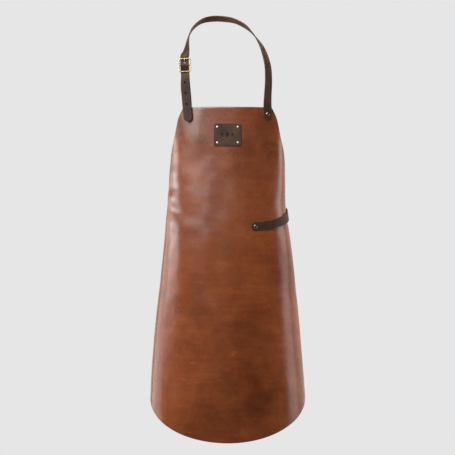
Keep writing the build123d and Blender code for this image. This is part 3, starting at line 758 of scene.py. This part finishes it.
def slot_punch(buckle):
    """The slot that a buckle's tongue goes through."""
    return cutter_rod(buckle @ Matrix.Translation((0, SLOT_ABOVE_BAR, 0)), SLOT_RADIUS, PUNCH_REACH, SLOT_LENGTH,
                      STRAP_EDGE)


def loop_outwards(points, turns):
    outwards = []
    last = len(points) - 1
    for i, turn in enumerate(turns):
        along = (points[min(i + 1, last)] - points[max(i - 1, 0)]).normalized()
        away = Vector((along.z, 0, -along.x)).normalized()
        angle = math.radians(turn)
        outwards.append(Vector((0, -1, 0)) * math.cos(angle) + away * math.sin(angle))
    return outwards


def build_neck_strap():
    out = sheet_normal(neck_turn, NECK_STUD_DROP)
    foot, stud, edge, over = strap_foot(neck_turn, STRAP_THICK)
    loop_points = [over] + mm_points(point for point, _ in NECK_LOOP)
    passing = [in_buckle(neck_buckle, along, w) for along, w in BUCKLE_PASS[1:]]
    tail = mm_points(NECK_TAIL)
    points = [foot, stud, edge] + loop_points + passing + tail
    turns = [24] + [turn for _, turn in NECK_LOOP]
    outwards = [out, out, out] + loop_outwards(points[3:], turns)
    outwards += [neck_buckle.col[2].to_3d()] * len(passing) + [Vector((0, -1, 0))] * len(tail)
    rings = round_ends(smooth_route(points, outwards), True, True)
    strap = ribbon("neck_strap_leather", rings, STRAP_THICK, STRAP_SET)
    cutters = [hole_punch(frame_matrix(Vector(hole) * MM, (1, 0, 0), (0, -1, 0))) for hole in NECK_TAIL_HOLES]
    drill(strap, cutters + [slot_punch(neck_buckle)])
    return strap


neck_strap = build_neck_strap()
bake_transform(neck_strap)
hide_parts("neck_strap", "neck_strap_anchor")


def folded_strap(name, buckle, foot_points, foot_outwards):
    """A short strap from its stud to the buckle's bar, round it and back; the fold is skived thin."""
    bar = -3.5
    ring = 2.35
    profile = [(-37, -6.4), (-30, -5.95), (-14, -5.95), (-5, -2.6)]
    profile += [(ring * math.sin(math.radians(a)), bar + ring * math.cos(math.radians(a))) for a in (10, 60, 110, 160)]
    profile += [(-6, -7.0), (-14, -7.55), (-24, -7.55), (-37, -7.55)]
    points = foot_points + [in_buckle(buckle, along, w) for along, w in profile]
    up, out = buckle.col[1].to_3d(), buckle.col[2].to_3d()
    outwards = list(foot_outwards)
    last = len(profile) - 1
    for i in range(len(profile)):
        a, b = profile[max(i - 1, 0)], profile[min(i + 1, last)]
        way = Vector((b[0] - a[0], b[1] - a[1])).normalized()
        outwards.append(up * -way.y + out * way.x)
    stations = smooth_route(points, outwards, 1.5 * MM)
    rings = round_ends(stations, True, False)
    thin_from = min(range(len(rings)), key=lambda i: (rings[i][0] - points[len(foot_points)]).length)

    def thickness(index):
        return TAB_THICK + (SKIVED - TAB_THICK) * ease((index - thin_from) / 5)

    strap = ribbon(name, rings, thickness, STRAP_SET, 0.5 * MM, 0.05 * MM)
    gap = cutter_box(buckle @ Matrix.Translation((0, 0, -4 * MM)), (4.2 * MM, 9 * MM, 9 * MM), STRAP_EDGE)
    drill(strap, [gap])
    return strap


def build_buckle_strap():
    out = sheet_normal(-neck_turn, NECK_STUD_DROP)
    twist = math.radians(OVER_EDGE_TWIST)
    out_over = Vector((-math.sin(twist), -math.cos(twist), 0))
    return folded_strap("buckle_strap_leather", neck_buckle, strap_foot(-neck_turn, TAB_THICK),
                        [out, out, out, out_over])


buckle_strap = build_buckle_strap()
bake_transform(buckle_strap)
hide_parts("buckle_strap", "buckle_strap_anchor")


def waist_drop(turn):
    """The waist strap climbs from its stud to the middle of the back."""
    from_front = turn if turn <= 180 else 360 - turn
    part = max(0.0, (from_front - WAIST_STUD_TURN) / (180 - WAIST_STUD_TURN))
    climbed = math.sin(math.pi / 2 * part) ** WAIST_CLIMB_POWER
    return WAIST_DROP_LOW + (WAIST_DROP_BACK - WAIST_DROP_LOW) * climbed


WAIST_STAND_OFF = 2.0 * MM
WAIST_BACK_DEPTH = 112 * MM
WAIST_BUCKLE_TURN = 216
WAIST_HOLE_TURNS = (203, 192, 181)


def waist_place(turn):
    """Strap on the sheet and standing off it as far as the side, then round the back on an ellipse of its own."""
    drop = waist_drop(turn)
    if turn <= 92:
        off = LAY_GAP + STRAP_THICK / 2 + WAIST_STAND_OFF * ease((turn - 45) / 43)
        return off_sheet(turn, drop, off), sheet_normal(turn, drop)
    angle = math.radians(turn)
    side_drop = waist_drop(90)
    across = half_width(side_drop) + STRAP_THICK / 2 + LAY_GAP + WAIST_STAND_OFF
    centre_y = front_y(side_drop) + half_depth(side_drop)
    across -= side_pull(math.sin(angle), side_drop)
    point = Vector((across * math.sin(angle), centre_y - WAIST_BACK_DEPTH * math.cos(angle), BIB_TOP_Z - drop))
    return point, Vector((math.sin(angle) / across, -math.cos(angle) / WAIST_BACK_DEPTH, 0)).normalized()


def waist_buckle_frame():
    point, normal = waist_place(WAIST_BUCKLE_TURN)
    up_strap = (waist_place(WAIST_BUCKLE_TURN - 1)[0] - waist_place(WAIST_BUCKLE_TURN + 1)[0]).normalized()
    return frame_matrix(point, up_strap.cross(normal), normal)


waist_buckle = waist_buckle_frame()


def build_waist_strap():
    turns = list(range(26, 93, 6)) + list(range(99, 196, 8))
    places = [waist_place(turn) for turn in turns]
    passing = [in_buckle(waist_buckle, along, w) for along, w in BUCKLE_PASS]
    tail = [in_buckle(waist_buckle, along, w) for along, w in ((-43, -3.0), (-55, -7.3))]
    points = [point for point, _ in places] + passing + tail
    outwards = [normal for _, normal in places] + [waist_buckle.col[2].to_3d()] * (len(passing) + len(tail))
    rings = round_ends(smooth_route(points, outwards), True, True)
    strap = ribbon("waist_strap_leather", rings, STRAP_THICK, STRAP_SET)
    cutters = []
    for turn in WAIST_HOLE_TURNS:
        point, normal = waist_place(turn)
        cutters.append(hole_punch(frame_matrix(point, (0, 0, 1), normal)))
    drill(strap, cutters + [slot_punch(waist_buckle)])
    return strap


waist_strap = build_waist_strap()
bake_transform(waist_strap)
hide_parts("waist_strap", "waist_strap_front")


def build_waist_tab():
    drop = waist_drop(SIDE_TURN)
    inset = LEATHER + TAB_THICK / 2
    lie = [(0, 1.9), (5, 1.4), (10, 1.3)]
    feet = [off_sheet(SIDE_STUD_TURN - past, drop, -inset - gap * MM) for past, gap in lie]
    outs = [sheet_normal(SIDE_STUD_TURN - past, drop) for past, gap in lie]
    return folded_strap("waist_tab_leather", waist_buckle, feet, outs)


waist_tab = build_waist_tab()
stands_for(waist_tab, "strap_leather", "waist_loop", "waist_tab")


# ---------------------------------------------------------------- buckles
def rounded_rectangle(half_across, half_along, corner, steps=7):
    """Points round a rectangle with arcs for corners."""
    path = []
    for centre_x, centre_y, start in ((1, 1, 0), (-1, 1, 90), (-1, -1, 180), (1, -1, 270)):
        for k in range(steps + 1):
            angle = math.radians(start + 90 * k / steps)
            path.append((centre_x * (half_across - corner) + corner * math.cos(angle),
                         centre_y * (half_along - corner) + corner * math.sin(angle)))
    return path


BUCKLE_HALF_ACROSS = 14.3 * MM
BUCKLE_HALF_ALONG = 16.8 * MM
BUCKLE_CORNER = 5 * MM
RIM_RADIUS = 1.75 * MM
BAR_RADIUS = 1.5 * MM


def build_buckle(name, buckle):
    """A rounded wire frame with its centre bar set back."""
    out = buckle.col[2].to_3d()
    bm = bmesh.new()
    outline = rounded_rectangle(BUCKLE_HALF_ACROSS, BUCKLE_HALF_ALONG, BUCKLE_CORNER)
    rim = [buckle @ Vector((x, y, 0)) for x, y in outline]
    tube(bm, rim, RIM_RADIUS, 20, closed=True, flatten=0.9, up=out)
    bar = [(-14.3, -0.3), (-13.9, -1.8), (-13.0, -3.0), (-11.9, -3.5), (-6, -3.5), (0, -3.5),
           (6, -3.5), (11.9, -3.5), (13.0, -3.0), (13.9, -1.8), (14.3, -0.3)]
    tube(bm, [buckle @ Vector((x * MM, 0, w * MM)) for x, w in bar], BAR_RADIUS, 16, up=buckle.col[1].to_3d())
    bmesh.ops.recalc_face_normals(bm, faces=bm.faces)
    return finish_mesh(name, bm, [BRASS])


def build_tongue(name, buckle):
    """A bent wire: an eye on the bar, then the prong up through the strap to the far bar."""
    eye = [(2.5 * math.sin(math.radians(a)), -3.5 + 2.5 * math.cos(math.radians(a))) for a in range(-250, 31, 20)]
    prong = [(3.6, -0.35), (6.5, 1.25), (9.5, 2.5), (12.5, 3.05), (16, 3.1), (18.6, 2.9), (19.6, 2.6)]
    path = [buckle @ Vector((0, y * MM, w * MM)) for y, w in eye + prong]
    radii = [0.85 * MM] * len(eye) + [0.95 * MM, 1.1 * MM, 1.15 * MM, 1.1 * MM, 1.0 * MM, 0.9 * MM, 0.55 * MM]
    bm = bmesh.new()
    tube(bm, path, radii, 14, up=buckle.col[0].to_3d())
    bmesh.ops.recalc_face_normals(bm, faces=bm.faces)
    return finish_mesh(name, bm, [BRASS])


FOLD_RIVET_BELOW_BAR = 27 * MM
FOLD_OUTER = -5.1
FOLD_INNER = -8.3
FOLD_SHANK_RADIUS = 1.4
RIVET_CAP = [(0, 0), (3.8, 0), (4.0, 0.25), (3.9, 0.6), (3.3, 0.95), (2.2, 1.2), (1.0, 1.3), (0, 1.32)]


def build_fold_rivet(name, buckle):
    """Two caps on a shank through both layers of a folded strap."""
    profile = [(r, FOLD_OUTER + h) for r, h in reversed(RIVET_CAP)][:-1]
    profile += [(FOLD_SHANK_RADIUS, FOLD_OUTER), (FOLD_SHANK_RADIUS, FOLD_INNER)]
    profile += [(r, FOLD_INNER - h) for r, h in RIVET_CAP[1:]]
    at = buckle @ Matrix.Translation((0, -FOLD_RIVET_BELOW_BAR, 0))
    return lathe(name, at, [(r * MM, h * MM) for r, h in profile], [NICKEL])


for side, buckle in (("neck", neck_buckle), ("waist", waist_buckle)):
    stands_for(build_buckle(f"{side}_buckle_brass", buckle), "brass", f"{side}_loop", f"{side}_buckle_frame")
    stands_for(build_tongue(f"{side}_tongue_brass", buckle), "brass", f"{side}_tongue", f"{side}_buckle_tongue")
    stands_for(build_fold_rivet(f"{side}_fold_rivet_nickel", buckle), "antique_nickel", f"{side}_loop",
               f"{side}_fold_rivet")


# ---------------------------------------------------------------- studs
def stud_at(turn, drop, off):
    """A stud's frame on the sheet, z out of the leather."""
    return frame_matrix(off_sheet(turn, drop, off), (0, 0, 1), sheet_normal(turn, drop))


def build_stud(name, at, stack):
    head = [(0, 3.0), (1.2, 2.93), (2.4, 2.7), (3.5, 2.28), (4.4, 1.7), (5.0, 1.15), (5.35, 0.8), (5.5, 0.45),
            (5.4, 0.1), (5.2, 0.0), (1.6, 0.0), (1.6, -stack + 0.8), (0, -stack + 0.8)]
    screw = lathe(f"{name}_screw_nickel", at, [(r * MM, h * MM) for r, h in head], [NICKEL])
    back = [(1.7, -0.25), (2.35, -0.25), (2.35, -stack), (4.6, -stack), (5.0, -stack - 0.3), (5.0, -stack - 0.9),
            (4.6, -stack - 1.3), (4.0, -stack - 1.4), (0, -stack - 1.4), (0, -stack - 0.2), (1.7, -stack - 0.2),
            (1.7, -0.25)]
    post = lathe(f"{name}_post_nickel", at, [(r * MM, h * MM) for r, h in back], [NICKEL])
    slit = cutter_box(at @ Matrix.Translation((0, 0, (-stack - 1.4) * MM)), (7.4 * MM, 1.2 * MM, 1.2 * MM), NICKEL)
    drill(post, [slit])
    return screw, post


# Each stud's place and the depth of leather and gaps that it clamps, in millimetres.
STUDS = {
    "neck_right_stud": (stud_at(neck_turn, NECK_STUD_DROP, STRAP_THICK + 2 * LAY_GAP), 2.2 + 0.75 + 2.8),
    "neck_left_stud": (stud_at(-neck_turn, NECK_STUD_DROP, TAB_THICK + 2 * LAY_GAP), 2.2 + 0.75 + 2.6),
    "waist_front_stud": (stud_at(WAIST_STUD_TURN, WAIST_DROP_LOW, STRAP_THICK + 2 * LAY_GAP), 2.2 + 0.75 + 2.8),
    "waist_side_stud": (stud_at(SIDE_STUD_TURN, waist_drop(SIDE_TURN), 0.0), 2.2 + 1.9 + 2.6 + 1.0),
}
for name, (at, stack) in STUDS.items():
    screw, post = build_stud(name, at, stack)
    for piece, node in ((screw, f"{name}_screw"), (post, f"{name}_post")):
        stands_for(piece, "antique_nickel", "apron", node)


# ---------------------------------------------------------------- label
LABEL_HALF_WIDTH = 34.7 * MM
LABEL_TOP_DROP = 42.7 * MM
LABEL_HEIGHT = 57.5 * MM
LABEL_THICK = 2.4 * MM
LABEL_CORNER = 5 * MM
RIVET_INSET = 8.7 * MM
STAMPED_BELOW = -0.4 * MM


def label_relief(x, down):
    """Blind tooling: a framing groove and a row of three lozenges."""
    edge = min(LABEL_HALF_WIDTH - abs(x), down, LABEL_HEIGHT - down)
    depth = 0.3 * MM * math.exp(-((edge - 3.0 * MM) / (0.45 * MM)) ** 2)
    for centre, size in ((-13 * MM, 6.4 * MM), (0.0, 8.6 * MM), (13 * MM, 6.4 * MM)):
        reach = abs(x - centre) / (size * 0.72) + abs(down - LABEL_HEIGHT / 2) / size
        depth += 0.5 * MM * ease((1.0 - reach) / 0.18)
    return -depth


def build_label():
    columns, rows = 110, 90
    bm = bmesh.new()

    def at(part_x, part_down, off):
        """Square grid eased into the rounded corners."""
        x = part_x * LABEL_HALF_WIDTH
        down = (part_down + 1) / 2 * LABEL_HEIGHT
        over_x = abs(x) - (LABEL_HALF_WIDTH - LABEL_CORNER)
        over_y = abs(down - LABEL_HEIGHT / 2) - (LABEL_HEIGHT / 2 - LABEL_CORNER)
        if over_x > 0 and over_y > 0:
            far = max(over_x, over_y)
            scale = far / math.hypot(over_x, over_y)
            x = math.copysign(LABEL_HALF_WIDTH - LABEL_CORNER + over_x * scale, x)
            half = LABEL_HEIGHT / 2
            down = half + math.copysign(half - LABEL_CORNER + over_y * scale, down - half)
        drop = LABEL_TOP_DROP + down
        turn = math.degrees(math.asin(x / half_width(drop)))
        lift = off
        if off > LAY_GAP:
            lift += label_relief(x, down)
            edge = 1 - max(abs(part_x), abs(part_down))
            lift -= 0.5 * MM * (1 - ease(edge / 0.03))
        return off_sheet(turn, drop, lift + relief(turn, drop))

    def layer(off):
        return [[bm.verts.new(at(c / columns * 2 - 1, r / rows * 2 - 1, off)) for c in range(columns + 1)]
                for r in range(rows + 1)]

    front, back = layer(LAY_GAP + LABEL_THICK), layer(LAY_GAP)
    for r in range(rows):
        for c in range(columns):
            face = bm.faces.new((front[r][c], front[r + 1][c], front[r + 1][c + 1], front[r][c + 1]))
            across, down = (c + 0.5) / columns * 2 - 1, (r + 0.5) / rows
            if label_relief(across * LABEL_HALF_WIDTH, down * LABEL_HEIGHT) < STAMPED_BELOW:
                face.material_index = 2
            bm.faces.new((back[r][c], back[r][c + 1], back[r + 1][c + 1], back[r + 1][c])).material_index = 1
    rim = grid_rim(rows, columns)
    for (r, c), (r2, c2) in zip(rim, rim[1:] + rim[:1]):
        bm.faces.new((front[r][c], front[r2][c2], back[r2][c2], back[r][c])).material_index = 1
    bmesh.ops.recalc_face_normals(bm, faces=bm.faces)
    return finish_mesh("label_patch_leather", bm, [LABEL, STRAP_EDGE, LABEL_STAMP])


label = build_label()
stands_for(label, "label_leather", "apron", "label_patch")


def join(name, pieces):
    """One piece of several meshes."""
    bm = bmesh.new()
    for piece in pieces:
        bm.from_mesh(piece.data)
    materials = list(pieces[0].data.materials)
    for piece in pieces:
        bpy.data.objects.remove(piece)
    return finish_mesh(name, bm, materials)


def build_label_rivets():
    caps, burrs = [], []
    stack = 2.4 + 2.2 + 0.5
    for side in (-1, 1):
        turn = math.degrees(math.asin(side * (LABEL_HALF_WIDTH - RIVET_INSET) / half_width(LABEL_TOP_DROP)))
        for drop in (LABEL_TOP_DROP + RIVET_INSET, LABEL_TOP_DROP + LABEL_HEIGHT - RIVET_INSET):
            at = stud_at(turn, drop, LABEL_THICK + LAY_GAP + relief(turn, drop))
            cap = [(0, 1.6), (0.9, 1.52), (1.8, 1.25), (2.6, 0.8), (3.05, 0.35), (3.1, 0.05), (2.9, -0.05),
                   (1.2, -0.05), (1.2, -stack - 1.2), (0, -stack - 1.3)]
            burr = [(1.25, -stack), (2.9, -stack), (3.0, -stack - 0.4), (2.6, -stack - 0.9), (1.25, -stack - 1.0),
                    (1.25, -stack)]
            # The caps take the paler nickel copy, a painted highlight; the burrs keep the antique nickel.
            caps.append(lathe("cap", at, [(r * MM, h * MM) for r, h in cap], [NICKEL_WITH_PAINTED_HIGHLIGHT], 28))
            burrs.append(lathe("burr", at, [(r * MM, h * MM) for r, h in burr], [NICKEL], 28))
    return join("label_rivets_nickel", caps), join("label_burrs_nickel", burrs)


for piece, node in zip(build_label_rivets(), ("label_rivets", "label_rivet_burrs")):
    stands_for(piece, "antique_nickel", "apron", node)


# ---------------------------------------------------------------- studio
PAPER_TONE = 230
FLOOR_BELOW = 0.9
WALL_DEPTH = 4.6
WALL_BEND = 1.2
WALL_HEIGHT = 5.4
WALL_HALF_WIDTH = 3.2
ROOM_LIGHT = 0.08
LIT = Vector((0.0, -0.12, -0.6))
CAMERA_PLACE = (0.0, -3.35, -0.557)
VIEW_HALF_HEIGHT = 0.5824
VIEW_DISTANCE = 3.2


def build_studio():
    """A plain pale floor and far wall of one even tone, in a dark room."""
    tone = srgb(*[PAPER_TONE] * 3)
    paper = Nodes("studio_paper")
    paper.settle(Base_Color=(0, 0, 0, 1), Roughness=1.0, Specular_IOR_Level=0.0, Emission_Color=(*tone, 1),
                 Emission_Strength=1.0)
    bm = bmesh.new()
    floor_z = cad_box[0][2] - FLOOR_BELOW
    quarter = [math.pi / 2 * k / 12 for k in range(13)]
    profile = [(-1.0, 0.0)]
    profile += [(WALL_DEPTH - WALL_BEND * (1 - math.sin(a)), WALL_BEND * (1 - math.cos(a))) for a in quarter]
    profile.append((WALL_DEPTH, WALL_HEIGHT))
    rows = [[bm.verts.new((x, y, floor_z + z)) for x in (-WALL_HALF_WIDTH, WALL_HALF_WIDTH)] for y, z in profile]
    for near, far in zip(rows, rows[1:]):
        bm.faces.new((near[0], near[1], far[1], far[0]))
    finish_mesh("studio_sweep", bm, [paper.material])
    world = bpy.data.worlds.new("studio_air")
    bpy.context.scene.world = world
    world.use_nodes = True
    tree = world.node_tree
    path = tree.nodes.new("ShaderNodeLightPath")
    level = tree.nodes.new("ShaderNodeMapRange")
    level.inputs["To Min"].default_value = ROOM_LIGHT
    level.inputs["To Max"].default_value = tone[0]
    tree.links.new(path.outputs["Is Camera Ray"], level.inputs["Value"])
    tree.links.new(level.outputs["Result"], tree.nodes["Background"].inputs["Color"])


def softbox(name, azimuth, height, distance, width, tall, radiance, lean, glossy):
    """A rectangular light facing the apron; azimuth is degrees from straight in front, positive to the right."""
    angle = math.radians(azimuth)
    light = bpy.data.lights.new(name, "AREA")
    light.shape = "RECTANGLE"
    light.size = width
    light.size_y = tall
    light.energy = radiance * math.pi * width * tall
    lamp = bpy.data.objects.new(name, light)
    bpy.context.scene.collection.objects.link(lamp)
    lamp.visible_glossy = glossy
    at = LIT + Vector((math.sin(angle), -math.cos(angle), 0)) * distance + Vector((0, 0, height))
    facing = (LIT - at).to_track_quat("-Z", "Y").to_matrix()
    lamp.matrix_world = Matrix.Translation(at) @ (facing @ Matrix.Rotation(math.radians(lean), 3, "Z")).to_4x4()


def build_camera():
    camera = bpy.data.cameras.new("camera")
    camera.angle = 2 * math.atan(VIEW_HALF_HEIGHT / VIEW_DISTANCE)
    camera_object = bpy.data.objects.new("camera", camera)
    bpy.context.scene.collection.objects.link(camera_object)
    camera_object.location = CAMERA_PLACE
    camera_object.rotation_euler = (math.pi / 2, 0, 0)
    bpy.context.scene.camera = camera_object


build_camera()
build_studio()
# name, azimuth, height, distance, width, tall, radiance, lean, seen in reflections
LAMPS = [
    ("key", -20, 1.7, 2.4, 2.4, 1.6, 5.2, 0, True),
    ("high_left", -118, 2.2, 2.0, 1.6, 1.2, 10.0, 0, False),
    ("high_right", 123, 2.2, 2.0, 1.6, 1.2, 32.0, 0, False),
    ("veil_left", -39, 1.2, 2.3, 1.5, 1.3, 6.5, 0, True),
    ("edge_left", -86, 0.2, 2.3, 1.2, 0.36, 12.0, 0, True),
    ("rim_left", -113, -0.35, 2.4, 1.9, 1.6, 2.8, 0, True),
    ("strip_right", 92, -0.28, 2.4, 0.95, 2.1, 3.5, 4, True),
    ("back_right", 126, -0.2, 2.4, 1.4, 2.4, 1.0, 0, True),
    ("overhead", 8, 2.4, 1.0, 2.4, 1.4, 2.2, 0, True),
]
for lamp in LAMPS:
    softbox(*lamp)
bpy.context.scene.view_settings.view_transform = "Standard"
